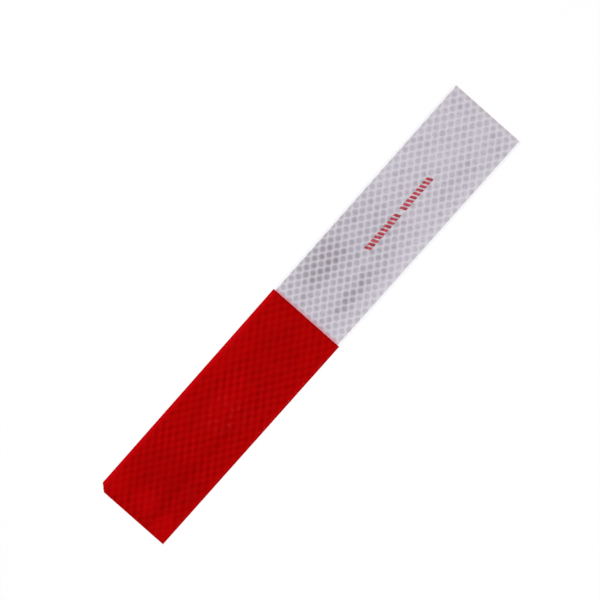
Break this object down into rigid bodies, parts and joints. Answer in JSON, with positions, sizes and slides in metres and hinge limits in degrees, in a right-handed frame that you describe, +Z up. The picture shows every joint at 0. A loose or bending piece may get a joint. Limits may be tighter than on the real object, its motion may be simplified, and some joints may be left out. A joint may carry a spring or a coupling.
{
  "type": "reflective tape strip",
  "caption": "Flat strip of two-colour reflective marking tape, white at one end and red at the other, with sealed diamond cells and a liner on its back.",
  "frame": {"origin": "middle of the back face of the strip, on the release liner", "axes": "+X along the strip towards the white end, +Y across it towards the edge with the clipped corner, +Z up out of the reflective face"},
  "size_m": [0.305, 0.0494, 0.0005],
  "materials": {
    "white_sheeting": "clear glossy film over silvery white prism cells, with paler sealed seams",
    "red_film": "see-through deep red film over the same prism cells, glossy",
    "release_liner": "smooth off-white silicone-coated kraft paper"
  },
  "bodies": {
    "root": {"reflective_sheeting": "white_sheeting", "red_film": "red_film", "release_liner": "release_liner"}
  },
  "joints": []
}
